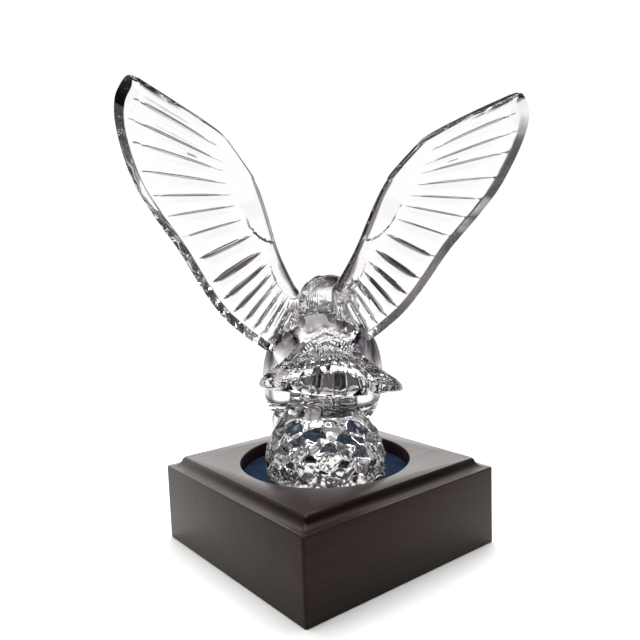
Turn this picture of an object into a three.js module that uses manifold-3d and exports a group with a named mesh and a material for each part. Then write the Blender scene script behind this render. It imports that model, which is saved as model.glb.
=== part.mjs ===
// A clear crystal eagle alighting on a rock, standing in the round recess of a square wooden base.
// Millimetres, +Z up, origin in the middle of the base's underside.

import * as THREE from 'three';
import { mergeVertices } from 'three/addons/utils/BufferGeometryUtils.js';
import Module from 'manifold-3d';

const wasm = await Module();
wasm.setup();

const DEGREE = Math.PI / 180;

// Wooden base: straight sides, a flat land, a hollow moulding and a raised top
const BASE_SIDE = 120;
const BASE_CORNER_RADIUS = 1.4;
const BASE_CORNER_STEPS = 3;
const LAND_HEIGHT = 39.6;
const PLATEAU_HEIGHT = 44.3;
const PLATEAU_INSET = 7;
const EDGE_EASING = 0.6;
const COVE_START = 1.4;
const COVE_ARC = 84 * DEGREE;
const COVE_STEPS = 6;

// Round recess and its felt lining
const RECESS_RADIUS = 43.4;
const RECESS_FLOOR = 36.3;
const RECESS_SIDES = 72;
const FELT_RADIUS = 42.9;
const FELT_THICKNESS = 1.1;
const RESTING_GAP = 0.3;

// Where the crystal stands and which way it faces
const CRYSTAL_OFFSET_X = -1.1;
const CRYSTAL_OFFSET_Y = 0.5;
const CRYSTAL_TURN = -26.25 * DEGREE;
const CRYSTAL_UNDERSIDE = RECESS_FLOOR + FELT_THICKNESS + 2 * RESTING_GAP;

// The tail and legs are swung a little to the eagle's left and held a little higher there
const LOWER_SWING = -10 * DEGREE;
const LOWER_ROLL = -4 * DEGREE;
const LOWER_PIVOT_HEIGHT = 50;

// Rock: radius and height of its outline, with hammered hollows all over
const ROCK_PROFILE = [[30.6, 0], [31.6, 4], [31.2, 9], [29.4, 16], [26.4, 22.5], [21.6, 28.5], [10.8, 32]];
const ROCK_SIDES = 44;
const ROCK_ROWS = 14;
const ROCK_SHIFT = 0.95;
const ROCK_BACK = 2.5;
const SCOOP_COUNT = 74;
const SCOOP_RADIUS = 6.4;
const SCOOP_DEPTH = 1.7;

// Wings, as seen from behind: out from the middle of the back, and up from the crystal's underside
const WING_HINGE = [
  [10.5, 80], [8.5, 91], [11.5, 96.5], [15, 103], [18.2, 109.5], [21.2, 117],
  [25.2, 129], [28.3, 137.5], [30, 141.5], [32, 145.3], [33.8, 148.5], [45, 162],
];
const WING_RIM = [
  [2.5, 71], [21, 62.5], [30.2, 66.5], [38.3, 72.6], [47.4, 81.3], [56.6, 94.3],
  [67.5, 112.9], [78.4, 128.7], [86.9, 143.7], [92.2, 162], [92.4, 175.3], [86.8, 185.4],
];
// Rows gathered where the coverts end and where the rim is bevelled
const WING_ROW_SHARES = [0, 0.07, 0.16, 0.3, 0.45, 0.6, 0.75, 0.83, 0.9, 1];
const FEATHERS = 18;
const FEATHER_CROWDING = 1.12;
const WING_SWEEP = 45;
const WING_SWEEP_REACH = 141;
const WING_ROOT = [15, 65];
const WING_ROOT_SET = -4.5;
const WING_THICKNESS = 4.6;
const WING_ROOT_THICKNESS = 11;
const WING_EDGE_THICKNESS = 1.8;
const WING_LIFT = 2.27 * DEGREE;
const WING_SHIFT = 3.2;
const LEADING_BOW = 1.3;

// Valleys between the wing feathers: lens shaped near the root, shallower towards the tip
const FLUTE_DEPTH = 1.3;
const FLUTE_TIP_LOSS = 0.65;
const FLUTE_CHANGE = [0.38, 0.64];
const FLUTE_RUN_IN = 0.2;
const FRONT_FLUTE_SHARE = 0.6;
const COVERT_EDGE = 0.27;
const COVERT_ROOT_SHARE = 0.4;
const FEATHER_TIP = 0.9;
const FEATHER_TIP_ROUNDING = 0.08;

// Tail fan: back from the body, with a crest along the middle
const TAIL_FEATHERS = 11;
const TAIL_ROWS = 7;
const TAIL_HIDDEN_SHARE = 0.25;
const TAIL_START = 6;
const TAIL_LENGTH = 37;
const TAIL_CORNER_SETBACK = 12;
const TAIL_ROOT_HALF = 16;
const TAIL_END_HALF = 34;
const TAIL_HIDDEN_TAPER = 12;
const TAIL_SHIFT = -2;
const TAIL_FLUTE = 0.9;
const RUMP_HEIGHT = 68;
const TAIL_CREST_FALL = 9;
const TAIL_CREST_WIDTH = 0.47;
const TAIL_SIDE_DROP = [5, 2.2];
const TAIL_UNDERSIDE = 40;
const TAIL_UNDERSIDE_RISE = 8.3;
const TAIL_UNDERSIDE_LIFT = 1;

// Body, as seen from the side: back from the middle, up, half width, half depth, aside
const BODY_STATIONS = [
  [20, 50, 8, 4, 0],
  [15, 51, 14, 8, 0],
  [8, 53, 19, 12, 0],
  [-1, 57, 23.5, 15, 0],
  [-8.5, 64, 25, 17, 0],
  [-16, 72, 22, 15.5, 0],
  [-18.5, 80, 16.5, 12.5, -0.5],
  [-20, 86, 12.5, 10.5, -2],
  [-21, 91, 9, 8, -5],
];
const BODY_SIDES = 28;

// Leg block between the rock and the body: up, half width, half depth
const LEG_STATIONS = [
  [26, 21, 18.5],
  [32, 20, 17.5],
  [36, 18.5, 16],
  [42, 18.5, 15.5],
  [50, 17, 14],
];
const LEG_BACK = -3;

// Thighs, leaning forwards into the chest
const THIGH_OUT = 19;
const THIGH_BACK = -13;
const THIGH_UP = 49;
const THIGH_RADII = [12.5, 15, 25];
const THIGH_LEAN = -0.22;
const THIGH_TUCK = -0.05;

// Head, turned to the eagle's right: forward, half width, height above and below the middle, sag
const HEAD_AT = [-7, -22, 88.8];
const HEAD_TURN = 62 * DEGREE;
const HEAD_STATIONS = [
  [-14.5, 3, 3, 4, 0],
  [-12, 7, 5.8, 7.5, 0],
  [-8, 9.6, 8.4, 10.5, 0],
  [-2, 10.6, 9.7, 11, 0],
  [4, 10.2, 10.2, 9.5, 0],
  [8.5, 8.6, 9.2, 7, 0],
  [11, 5.8, 6.6, 5, 0],
  [13, 4.6, 5.2, 4.4, -0.2],
  [17, 4, 4.4, 3.8, -0.8],
  [20.5, 3, 3.2, 3, -2.4],
  [23, 1.9, 2, 2.2, -5.2],
  [23.6, 0.7, 0.8, 1.2, -8.6],
];
const HEAD_SIDES = 16;
const BROW_RADII = [2.2, 5, 1.5];
const BROW_AT = [7.4, -7.5, 5.4];
const BROW_TURN = 14 * DEGREE;

// Toes: reach from the ankle, up, and share of the full thickness, down to the claw
const TOE_STATIONS = [
  [6, 33, 1], [13, 31.5, 1.05], [19, 28.5, 0.95],
  [23.5, 24, 0.8], [25.5, 19, 0.45], [25, 15.5, 0.12],
];
const TOE_ANKLE = [8.5, -5];
const TOE_SPREAD = [-26, 4, 34];
const TOE_SIDES = 7;
const TOE_RADIUS = 3.1;

// Helpers

function smoothStep(from, to, value) {
  const x = Math.min(Math.max((value - from) / (to - from), 0), 1);
  return x * x * (3 - 2 * x);
}

function curveThrough(points) {
  return new THREE.SplineCurve(points.map(([x, y]) => new THREE.Vector2(x, y)));
}

function around(count, place) {
  return Array.from({ length: count }, (_, k) => place((k / count) * 360 * DEGREE));
}

// Unit direction of a profile at one of its stations, from the station before to the one after
function heading(stations, index) {
  const before = stations[Math.max(index - 1, 0)];
  const after = stations[Math.min(index + 1, stations.length - 1)];
  return new THREE.Vector2(after[0] - before[0], after[1] - before[1]).normalize();
}

function signedVolume(points, triangles) {
  let volume = 0;
  for (let i = 0; i < triangles.length; i += 3) {
    const [a, b, c] = [0, 1, 2].map((k) => points[triangles[i + k]]);
    volume += a.dot(b.clone().cross(c)) / 6;
  }
  return volume;
}

function closedGeometry(points, triangles) {
  const geometry = new THREE.BufferGeometry();
  const outward = signedVolume(points, triangles) > 0;
  const places = new THREE.Float32BufferAttribute(points.flatMap((point) => point.toArray()), 3);
  geometry.setAttribute('position', places);
  geometry.setIndex(outward ? triangles : triangles.slice().reverse());
  return geometry;
}

// Skin over rings of equal point counts, closed at both ends
function loft(rings) {
  const sides = rings[0].length;
  const points = rings.flat();
  const triangles = [];
  for (let r = 0; r + 1 < rings.length; r += 1) {
    for (let k = 0; k < sides; k += 1) {
      const near = r * sides + k;
      const beside = r * sides + ((k + 1) % sides);
      triangles.push(near, beside, near + sides);
      triangles.push(beside, beside + sides, near + sides);
    }
  }
  for (const end of [0, rings.length - 1]) {
    const centre = new THREE.Vector3();
    rings[end].forEach((p) => centre.addScaledVector(p, 1 / sides));
    points.push(centre);
    for (let k = 0; k < sides; k += 1) {
      const near = end * sides + k;
      const beside = end * sides + ((k + 1) % sides);
      const fan = [near, beside, points.length - 1];
      triangles.push(...(end === 0 ? fan.reverse() : fan));
    }
  }
  return closedGeometry(points, triangles);
}

// Plate between two faces that share one grid, walled all round
function plate(columns, rows, upper, lower) {
  const points = [];
  for (const face of [upper, lower]) {
    for (let i = 0; i <= columns; i += 1) {
      for (let j = 0; j <= rows; j += 1) {
        points.push(face(i / columns, j / rows));
      }
    }
  }
  const layer = (columns + 1) * (rows + 1);
  const at = (i, j, side) => side * layer + i * (rows + 1) + j;
  const triangles = [];
  const quad = (a, b, c, d) => triangles.push(a, b, c, a, c, d);
  for (let i = 0; i < columns; i += 1) {
    for (let j = 0; j < rows; j += 1) {
      quad(at(i, j, 0), at(i + 1, j, 0), at(i + 1, j + 1, 0), at(i, j + 1, 0));
      quad(at(i, j, 1), at(i, j + 1, 1), at(i + 1, j + 1, 1), at(i + 1, j, 1));
    }
  }
  for (let i = 0; i < columns; i += 1) {
    quad(at(i, 0, 1), at(i + 1, 0, 1), at(i + 1, 0, 0), at(i, 0, 0));
    quad(at(i, rows, 0), at(i + 1, rows, 0), at(i + 1, rows, 1), at(i, rows, 1));
  }
  for (let j = 0; j < rows; j += 1) {
    quad(at(0, j, 0), at(0, j + 1, 0), at(0, j + 1, 1), at(0, j, 1));
    quad(at(columns, j, 1), at(columns, j + 1, 1), at(columns, j + 1, 0), at(columns, j, 0));
  }
  return closedGeometry(points, triangles);
}

function toSolid(geometry) {
  const bare = geometry.clone();
  bare.deleteAttribute('normal');
  bare.deleteAttribute('uv');
  const merged = mergeVertices(bare, 1e-4);
  return new wasm.Manifold(new wasm.Mesh({
    numProp: 3,
    vertProperties: new Float32Array(merged.attributes.position.array),
    triVerts: new Uint32Array(merged.index.array),
  }));
}

function fromSolid(solid) {
  const mesh = solid.getMesh();
  const geometry = new THREE.BufferGeometry();
  geometry.setAttribute('position', new THREE.BufferAttribute(new Float32Array(mesh.vertProperties), 3));
  geometry.setIndex(new THREE.BufferAttribute(new Uint32Array(mesh.triVerts), 1));
  geometry.computeVertexNormals();
  return geometry;
}

function join(geometries) {
  return geometries.map(toSolid).reduce((whole, piece) => whole.add(piece));
}

// Wooden base

function roundedSquare(inset, height) {
  const half = BASE_SIDE / 2 - inset;
  const radius = Math.max(BASE_CORNER_RADIUS - inset * 0.1, EDGE_EASING);
  const ring = [];
  for (let corner = 0; corner < 4; corner += 1) {
    const turn = (corner * 90 + 45) * DEGREE;
    const middle = (half - radius) * Math.SQRT2;
    for (let step = 0; step <= BASE_CORNER_STEPS; step += 1) {
      const angle = (corner + step / BASE_CORNER_STEPS) * 90 * DEGREE;
      ring.push(new THREE.Vector3(
        Math.cos(turn) * middle + Math.cos(angle) * radius,
        Math.sin(turn) * middle + Math.sin(angle) * radius,
        height,
      ));
    }
  }
  return ring;
}

function woodBase() {
  const rings = [
    roundedSquare(EDGE_EASING, 0),
    roundedSquare(0, EDGE_EASING),
    roundedSquare(0, LAND_HEIGHT - EDGE_EASING),
    roundedSquare(EDGE_EASING, LAND_HEIGHT),
  ];
  const low = LAND_HEIGHT + EDGE_EASING / 4;
  const rise = PLATEAU_HEIGHT - EDGE_EASING - low;
  const run = PLATEAU_INSET - EDGE_EASING * 1.5 - COVE_START;
  for (let step = 0; step <= COVE_STEPS; step += 1) {
    const angle = (step / COVE_STEPS) * COVE_ARC;
    rings.push(roundedSquare(COVE_START + run * Math.sin(angle), low + rise * (1 - Math.cos(angle))));
  }
  rings.push(roundedSquare(PLATEAU_INSET - EDGE_EASING * 0.7, PLATEAU_HEIGHT - EDGE_EASING * 0.4));
  rings.push(roundedSquare(PLATEAU_INSET, PLATEAU_HEIGHT));
  const above = PLATEAU_HEIGHT + EDGE_EASING / 2;
  const cutter = new THREE.LatheGeometry([
    new THREE.Vector2(0, RECESS_FLOOR),
    new THREE.Vector2(RECESS_RADIUS, RECESS_FLOOR),
    new THREE.Vector2(RECESS_RADIUS, PLATEAU_HEIGHT - EDGE_EASING),
    new THREE.Vector2(RECESS_RADIUS + EDGE_EASING * 1.5, above),
    new THREE.Vector2(0, above),
  ], RECESS_SIDES);
  cutter.rotateX(90 * DEGREE);
  return fromSolid(toSolid(loft(rings)).subtract(toSolid(cutter)));
}

function feltDisc() {
  const bottom = RECESS_FLOOR + RESTING_GAP;
  const disc = new THREE.CylinderGeometry(FELT_RADIUS, FELT_RADIUS, FELT_THICKNESS, RECESS_SIDES);
  disc.rotateX(90 * DEGREE);
  disc.translate(0, 0, bottom + FELT_THICKNESS / 2);
  return disc;
}

// Rock

function scoops() {
  const profile = curveThrough(ROCK_PROFILE);
  const turnBetween = 5 * 137.508 * DEGREE;
  return Array.from({ length: SCOOP_COUNT }, (_, n) => {
    const [radius, height] = profile.getPoint((n + 0.5) / SCOOP_COUNT).toArray();
    const angle = n * turnBetween;
    return {
      middle: new THREE.Vector3(radius * Math.cos(angle), radius * Math.sin(angle), height),
      radius: SCOOP_RADIUS * (0.8 + 0.4 * ((n * 0.618) % 1)),
    };
  });
}

function rock() {
  const profile = curveThrough(ROCK_PROFILE);
  const hollows = scoops();
  const rings = [];
  for (let row = 0; row <= ROCK_ROWS; row += 1) {
    const [radius, height] = profile.getPoint(row / ROCK_ROWS).toArray();
    rings.push(Array.from({ length: ROCK_SIDES }, (_, k) => {
      const angle = ((k + (row % 2) / 2) / ROCK_SIDES) * 360 * DEGREE;
      const point = new THREE.Vector3(radius * Math.cos(angle), radius * Math.sin(angle), height);
      let deepest = 0;
      for (const hollow of hollows) {
        const share = point.distanceTo(hollow.middle) / hollow.radius;
        deepest = Math.max(deepest, SCOOP_DEPTH * (1 - share * share));
      }
      const inward = row === 0 ? 0 : deepest;
      point.x *= 1 - inward / radius;
      point.y *= 1 - inward / radius;
      point.x += ROCK_SHIFT;
      point.y += ROCK_BACK * (1 - height / ROCK_PROFILE.at(-1)[1]);
      return point;
    }));
  }
  return loft(rings);
}

// Wings

const hingeCurve = curveThrough(WING_HINGE);
const rimCurve = curveThrough(WING_RIM);

function wingSet(out, up) {
  const reach = Math.hypot(out - WING_ROOT[0], up - WING_ROOT[1]);
  return WING_ROOT_SET + WING_SWEEP * (reach / WING_SWEEP_REACH) ** 2;
}

// along runs from the lowest feather at the root to the leading edge, across from the hinge to the rim
function wingPlan(along, across) {
  const hinge = hingeCurve.getPoint(along);
  const rim = rimCurve.getPoint(along);
  const spread = rim.clone().sub(hinge);
  const bow = LEADING_BOW * smoothStep(0.6, 1, along) * Math.sin(Math.PI * Math.sqrt(across));
  const normal = new THREE.Vector2(-spread.y, spread.x).normalize();
  return hinge.addScaledVector(spread, across).addScaledVector(normal, bow);
}

function flute(feather, along, across) {
  const valley = Math.abs((feather % 1) - 0.5) * 2;
  const change = smoothStep(...FLUTE_CHANGE, along);
  const deep = (1 - FLUTE_TIP_LOSS * change) * smoothStep(0.04, 0.12, along);
  const start = COVERT_EDGE * (COVERT_ROOT_SHARE + (1 - COVERT_ROOT_SHARE) * change);
  const runIn = smoothStep(start, start + FLUTE_RUN_IN, across);
  const runOut = 1 - smoothStep(FEATHER_TIP - FEATHER_TIP_ROUNDING, FEATHER_TIP, across);
  return FLUTE_DEPTH * deep * runIn * runOut * valley ** 2;
}

function wingThickness(along, across) {
  const root = 1 - smoothStep(0.05, 0.5, along * 0.9 + across * 0.3);
  const body = WING_THICKNESS + (WING_ROOT_THICKNESS - WING_THICKNESS) * root;
  const nearEdge = Math.min(smoothStep(-0.03, 0.16, across), smoothStep(0, 0.05, 1 - along));
  const rimBevel = smoothStep(0, 1 - FEATHER_TIP, 1 - across);
  return WING_EDGE_THICKNESS + (body - WING_EDGE_THICKNESS) * Math.min(nearEdge, rimBevel);
}

// The feathers are a little narrower towards the root
function wingPoint(share, across, face) {
  const along = share ** FEATHER_CROWDING;
  const plan = wingPlan(along, across);
  const step = 0.5;
  const set = wingSet(plan.x, plan.y);
  const normal = new THREE.Vector3(
    -(wingSet(plan.x + step, plan.y) - set) / step,
    1,
    -(wingSet(plan.x, plan.y + step) - set) / step,
  ).normalize();
  const half = wingThickness(along, across) / 2;
  const cut = flute(share * FEATHERS, along, across);
  const lift = face > 0 ? half - cut : cut * FRONT_FLUTE_SHARE - half;
  return new THREE.Vector3(plan.x, set, plan.y).addScaledVector(normal, lift);
}

function wing(side) {
  const rows = WING_ROW_SHARES.length - 1;
  const shareOf = (across) => WING_ROW_SHARES[Math.round(across * rows)];
  const geometry = plate(
    FEATHERS * 2,
    rows,
    (share, across) => wingPoint(share, shareOf(across), 1),
    (share, across) => wingPoint(share, shareOf(across), -1),
  );
  geometry.translate(-WING_ROOT[0], 0, -WING_ROOT[1]);
  geometry.rotateY(-side * WING_LIFT);
  geometry.translate(WING_ROOT[0], 0, WING_ROOT[1]);
  if (side < 0) {
    geometry.scale(-1, 1, 1);
    geometry.setIndex(Array.from(geometry.index.array).reverse());
  }
  geometry.translate(WING_SHIFT, 0, 0);
  return geometry;
}

// Tail

function tailPlan(side, back) {
  const spread = (TAIL_END_HALF - TAIL_ROOT_HALF) * Math.max(back, 0) ** 1.15;
  const half = TAIL_ROOT_HALF + spread + TAIL_HIDDEN_TAPER * Math.min(back, 0);
  const end = TAIL_LENGTH - TAIL_CORNER_SETBACK * Math.abs(side) ** 1.25;
  return [side * half + TAIL_SHIFT * back, TAIL_START + end * back];
}

function tailTop(side, back) {
  const crest = RUMP_HEIGHT - TAIL_CREST_FALL * back;
  const beside = 1 - Math.exp(-((side / TAIL_CREST_WIDTH) ** 2));
  const drop = (TAIL_SIDE_DROP[0] + TAIL_SIDE_DROP[1] * back) * beside;
  const valley = Math.abs((((side + 1) / 2) * TAIL_FEATHERS) % 1 - 0.5) * 2;
  const reach = smoothStep(0.1, 0.45, back) * (1 - 0.9 * smoothStep(0.88, 1, back));
  return crest - drop - TAIL_FLUTE * valley ** 2 * reach;
}

function tailBottom(side, back) {
  const shown = Math.max(back, 0);
  return TAIL_UNDERSIDE + TAIL_UNDERSIDE_RISE * shown ** 0.7 + TAIL_UNDERSIDE_LIFT * shown * side * side;
}

function tail() {
  const sideOf = (across) => across * 2 - 1;
  const backOf = (share) => share * (1 + TAIL_HIDDEN_SHARE) - TAIL_HIDDEN_SHARE;
  const face = (height) => (across, share) => {
    const [side, back] = [sideOf(across), backOf(share)];
    return new THREE.Vector3(...tailPlan(side, back), height(side, back));
  };
  return plate(TAIL_FEATHERS * 2, TAIL_ROWS, face(tailTop), face(tailBottom));
}

// Body, legs and head

function body() {
  return loft(BODY_STATIONS.map(([back, up, halfWidth, halfDepth, aside], index) => {
    const along = heading(BODY_STATIONS, index);
    return around(BODY_SIDES, (angle) => new THREE.Vector3(
      aside + halfWidth * Math.sin(angle),
      back + along.y * halfDepth * Math.cos(angle),
      up - along.x * halfDepth * Math.cos(angle),
    ));
  }));
}

function legBlock() {
  return loft(LEG_STATIONS.map(([up, halfWidth, halfDepth]) => around(BODY_SIDES, (angle) => (
    new THREE.Vector3(halfWidth * Math.cos(angle), LEG_BACK + halfDepth * Math.sin(angle), up)
  ))));
}

function thigh(side) {
  const geometry = new THREE.SphereGeometry(1, 20, 14);
  geometry.rotateX(90 * DEGREE);
  geometry.scale(...THIGH_RADII);
  geometry.applyMatrix4(new THREE.Matrix4().set(
    1, 0, side * THIGH_TUCK, 0,
    0, 1, THIGH_LEAN, 0,
    0, 0, 1, 0,
    0, 0, 0, 1,
  ));
  geometry.translate(side * THIGH_OUT, THIGH_BACK, THIGH_UP);
  return geometry;
}

function head() {
  const geometry = loft(HEAD_STATIONS.map(([forward, halfWidth, above, below, sag]) => (
    around(HEAD_SIDES, (angle) => {
      const rise = Math.cos(angle);
      return new THREE.Vector3(
        halfWidth * Math.sin(angle),
        -forward,
        sag + rise * (rise > 0 ? above : below),
      );
    })
  )));
  geometry.rotateZ(-HEAD_TURN);
  geometry.translate(...HEAD_AT);
  return geometry;
}

function brow(side) {
  const geometry = new THREE.SphereGeometry(1, 10, 8);
  geometry.scale(...BROW_RADII);
  geometry.rotateZ(side * BROW_TURN);
  geometry.translate(side * BROW_AT[0], BROW_AT[1], BROW_AT[2]);
  geometry.rotateZ(-HEAD_TURN);
  geometry.translate(...HEAD_AT);
  return geometry;
}

// A toe leaves the leg forwards, bends over the shoulder of the rock and ends in a claw
function toe(side, spread) {
  const angle = side * spread * DEGREE;
  const outward = new THREE.Vector3(Math.sin(angle), -Math.cos(angle), 0);
  const sideways = new THREE.Vector3(Math.cos(angle), Math.sin(angle), 0);
  return loft(TOE_STATIONS.map(([reach, up, size], index) => {
    const along = heading(TOE_STATIONS, index);
    const rise = outward.clone().multiplyScalar(-along.y).setZ(along.x);
    const radius = TOE_RADIUS * size;
    return around(TOE_SIDES, (turn) => new THREE.Vector3(side * TOE_ANKLE[0], TOE_ANKLE[1], up)
      .addScaledVector(outward, reach)
      .addScaledVector(sideways, Math.cos(turn) * radius)
      .addScaledVector(rise, Math.sin(turn) * radius));
  }));
}

function crystalEagle() {
  const lower = [tail(), legBlock(), thigh(1), thigh(-1)];
  const swing = new THREE.Matrix4().makeRotationZ(LOWER_SWING)
    .multiply(new THREE.Matrix4().makeTranslation(0, 0, LOWER_PIVOT_HEIGHT))
    .multiply(new THREE.Matrix4().makeRotationY(LOWER_ROLL))
    .multiply(new THREE.Matrix4().makeTranslation(0, 0, -LOWER_PIVOT_HEIGHT));
  lower.forEach((geometry) => geometry.applyMatrix4(swing));
  const toes = [1, -1].flatMap((side) => TOE_SPREAD.map((spread) => toe(side, spread)));
  const paired = [1, -1].flatMap((side) => [wing(side), brow(side)]);
  return fromSolid(join([rock(), body(), head(), ...paired, ...lower, ...toes]));
}

// Scene

const walnut = new THREE.MeshStandardMaterial({ name: 'stained wood', color: '#3b2b28', roughness: 0.42 });
const felt = new THREE.MeshStandardMaterial({ name: 'blue felt', color: '#1d3f66', roughness: 0.95 });
const crystal = new THREE.MeshStandardMaterial({ name: 'lead crystal', color: '#eef3f6', roughness: 0.05 });

function piece(name, geometry, material) {
  const mesh = new THREE.Mesh(geometry, material);
  mesh.name = name;
  return mesh;
}

const figurine = new THREE.Group();
figurine.add(piece('wood_base', woodBase(), walnut));
figurine.add(piece('recess_felt', feltDisc(), felt));

const standing = new THREE.Group();
standing.position.set(CRYSTAL_OFFSET_X, CRYSTAL_OFFSET_Y, CRYSTAL_UNDERSIDE);
standing.rotation.z = CRYSTAL_TURN;
standing.add(piece('crystal_eagle', crystalEagle(), crystal));
figurine.add(standing);

export default figurine;
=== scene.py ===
"""A clear crystal eagle on a hammered rock, standing in the felt-lined recess of a dark wooden base."""

import math

import bmesh
import bpy
from mathutils import Matrix, Vector, kdtree


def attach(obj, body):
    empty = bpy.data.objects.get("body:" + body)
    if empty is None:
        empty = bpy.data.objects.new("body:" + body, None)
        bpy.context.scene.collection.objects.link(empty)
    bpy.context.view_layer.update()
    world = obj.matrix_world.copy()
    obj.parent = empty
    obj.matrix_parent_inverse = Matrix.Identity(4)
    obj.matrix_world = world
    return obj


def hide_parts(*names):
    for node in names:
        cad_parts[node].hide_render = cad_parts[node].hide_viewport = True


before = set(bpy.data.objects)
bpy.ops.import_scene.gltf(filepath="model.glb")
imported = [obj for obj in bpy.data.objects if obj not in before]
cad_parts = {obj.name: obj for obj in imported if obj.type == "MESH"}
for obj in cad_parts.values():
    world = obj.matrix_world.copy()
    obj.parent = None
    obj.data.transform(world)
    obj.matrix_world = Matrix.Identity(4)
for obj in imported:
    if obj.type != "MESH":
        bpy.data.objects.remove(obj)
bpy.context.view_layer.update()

bl_info = {
    "name": "Crystal Eagle Figurine",
    "version": (1, 0, 0),
    "blender": (4, 5, 0),
    "location": "View3D > Sidebar > Eagle",
    "description": "Models a crystal eagle figurine on its wooden base, with its finishes and a plain stage",
    "category": "Add Mesh",
}

MILLIMETRE = 0.001

# The camera that took the photograph: place in millimetres, then angles and focal length in pixels
CAMERA_AT = (213.139, 270.339, 157.881)
CAMERA_YAW = math.radians(38.2526)
CAMERA_PITCH = math.radians(6.9976)
CAMERA_ROLL = math.radians(-2.0172)
CAMERA_FOCAL = 688.598
IMAGE_SIDE = 640
SENSOR_WIDTH = 36.0

# Where the crystal stands, and how its tail and legs are swung
CRYSTAL_AT = (-1.1, 0.5, 38.0)
CRYSTAL_TURN = math.radians(-26.25)
LOWER_SWING = math.radians(-10)
LOWER_ROLL = math.radians(-4)
LOWER_PIVOT_HEIGHT = 50.0

# Rock: radius and height of its outline
ROCK_PROFILE = [(30.6, 0), (31.6, 4), (31.2, 9), (29.4, 16), (26.4, 22.5), (21.6, 28.5), (10.8, 32)]
ROCK_SIDES = 210
ROCK_RINGS = 84
ROCK_SHIFT = 0.95
ROCK_BACK = 2.5
SCOOP_COUNT = 74
SCOOP_RADIUS = 6.4
DENT_COUNT = 66
DENT_RADIUS = 6.2
DENT_DEPTH = 2.4
ROCK_FRONT_SHARE = 0.35
GOLDEN_ANGLE = math.radians(137.508)

# Wings: out from the middle of the back, and up from the crystal's underside
WING_HINGE = [
    (10.5, 80), (8.5, 91), (11.5, 96.5), (15, 103), (18.2, 109.5), (21.2, 117),
    (25.2, 129), (28.3, 137.5), (30, 141.5), (32, 145.3), (33.8, 148.5), (45, 162),
]
WING_RIM = [
    (2.5, 71), (21, 62.5), (30.2, 66.5), (38.3, 72.6), (47.4, 81.3), (56.6, 94.3),
    (67.5, 112.9), (78.4, 128.7), (86.9, 143.7), (92.2, 162), (92.4, 175.3), (86.8, 185.4),
]
FEATHERS = 18
FEATHER_CROWDING = 1.12
FEATHER_COLUMNS = 10
WING_ROWS = 64
WING_SWEEP = 45.0
WING_SWEEP_REACH = 141.0
WING_ROOT = (15.0, 65.0)
WING_ROOT_SET = -4.5
WING_THICKNESS = 7.0
WING_ROOT_THICKNESS = 11.0
WING_EDGE_THICKNESS = 0.8
WING_LIFT = math.radians(2.27)
WING_SHIFT = 3.2
LEADING_BOW = 1.3
LEADING_ROUNDING = 1.6
TIP_BLUNTING = 1.3
TIP_BLUNTING_WAY = (0.19, 0.98)
TIP_BLUNTING_ALONG = 0.045
TIP_BLUNTING_ACROSS = 0.11
COLUMN_GATHERING = 0.12
ROW_GATHERING = 0.1

# Cuts between the feathers: deep lenses near the root, fine lines towards the tip
CUT_CHANGE = (0.46, 0.58)
CUT_START = (0.2, 0.25)
LENS_DEPTH = 1.5
LENS_WIDTH = 0.36
LINE_DEPTH = 0.4
LINE_WIDTH = 0.12
FEATHER_DOME = 0.3
QUILL_RISE = 0.3
QUILL_SHARPNESS = 8
FRONT_CUT_SHARE = 0.3

# Bevel round the outer rim, with a small ragged step where the feathers end on it
RIM_WIDTH = 5.4
RIM_SHARE_AT_TIP = 0.4
RIM_STEP = 0.5
RIM_STEP_SLOPE = (0.3, -0.1)
TOOTH_REACH = 1.8

# Smooth patches against the leading edge: foot, top, bulge and rise
COVERT_PATCHES = [((22.5, 118.5), (37.5, 153.5), 9.6, 2.0), ((11.2, 90), (22.6, 119), 6.5, 2.2)]

# Tail fan
TAIL_FEATHERS = 11
TAIL_FEATHER_COLUMNS = 10
TAIL_ROWS = 36
TAIL_HIDDEN_SHARE = 0.25
TAIL_START = 6.0
TAIL_LENGTH = 37.0
TAIL_CORNER_SETBACK = 12.0
TAIL_ROOT_HALF = 16.0
TAIL_END_HALF = 35.5
TAIL_HIDDEN_TAPER = 12.0
TAIL_SHIFT = -2.0
TAIL_FLUTE = 0.36
RUMP_HEIGHT = 68.0
TAIL_CREST_FALL = 9.0
TAIL_CREST_WIDTH = 0.47
TAIL_SIDE_DROP = (5.0, 2.2)
TAIL_UNDERSIDE = 40.0
TAIL_UNDERSIDE_RISE = 8.3
TAIL_UNDERSIDE_LIFT = 1.0
TAIL_LIP = 3.0
TAIL_LIP_START = 0.8
TAIL_LIP_RISE = 0.7
TAIL_CORNER_ROUNDING = 2.0

# Body: back from the middle, up, half width, half depth, aside
BODY_STATIONS = [
    (20, 50, 8, 4, 0), (15, 51, 14, 8, 0), (8, 53, 19, 12, 0),
    (-1, 57, 23.5, 15, 0), (-8.5, 64, 25, 17, 0), (-16, 72, 22, 15.5, 0),
    (-18.5, 80, 16.5, 12.5, -0.5), (-20, 86, 12.5, 10.5, -2), (-21, 91, 9, 8, -5),
]
BODY_SIDES = 176
BODY_RINGS = 84
CHEVRON_STEP = 1.6
CHEVRONS = 17
CHEVRON_SLOPE = 0.19
BREAST_SCALE = 2.0
BREAST_ROWS = 13

# Nape, under the head: back, up, half width, half depth, aside
NAPE_STATIONS = [
    (-20, 97, 3, 3, -3), (-17.5, 94, 6, 6, -2), (-15.5, 88, 6.6, 7, -0.6),
    (-11.5, 82, 6.4, 7.6, 0.6), (-8.5, 78.6, 3, 5, 1.4),
]
NAPE_FLUTE = 0.5
NAPE_FLUTES = 34

# Leg block: up, half width, half depth
LEG_STATIONS = [(26, 21, 18.5), (32, 20, 17.5), (36, 18.5, 16), (42, 18.5, 15.5), (50, 17, 14)]
LEG_BACK = -3.0
LEG_FEATHERING = 0.14
LEG_FLUTES = 9

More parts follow.
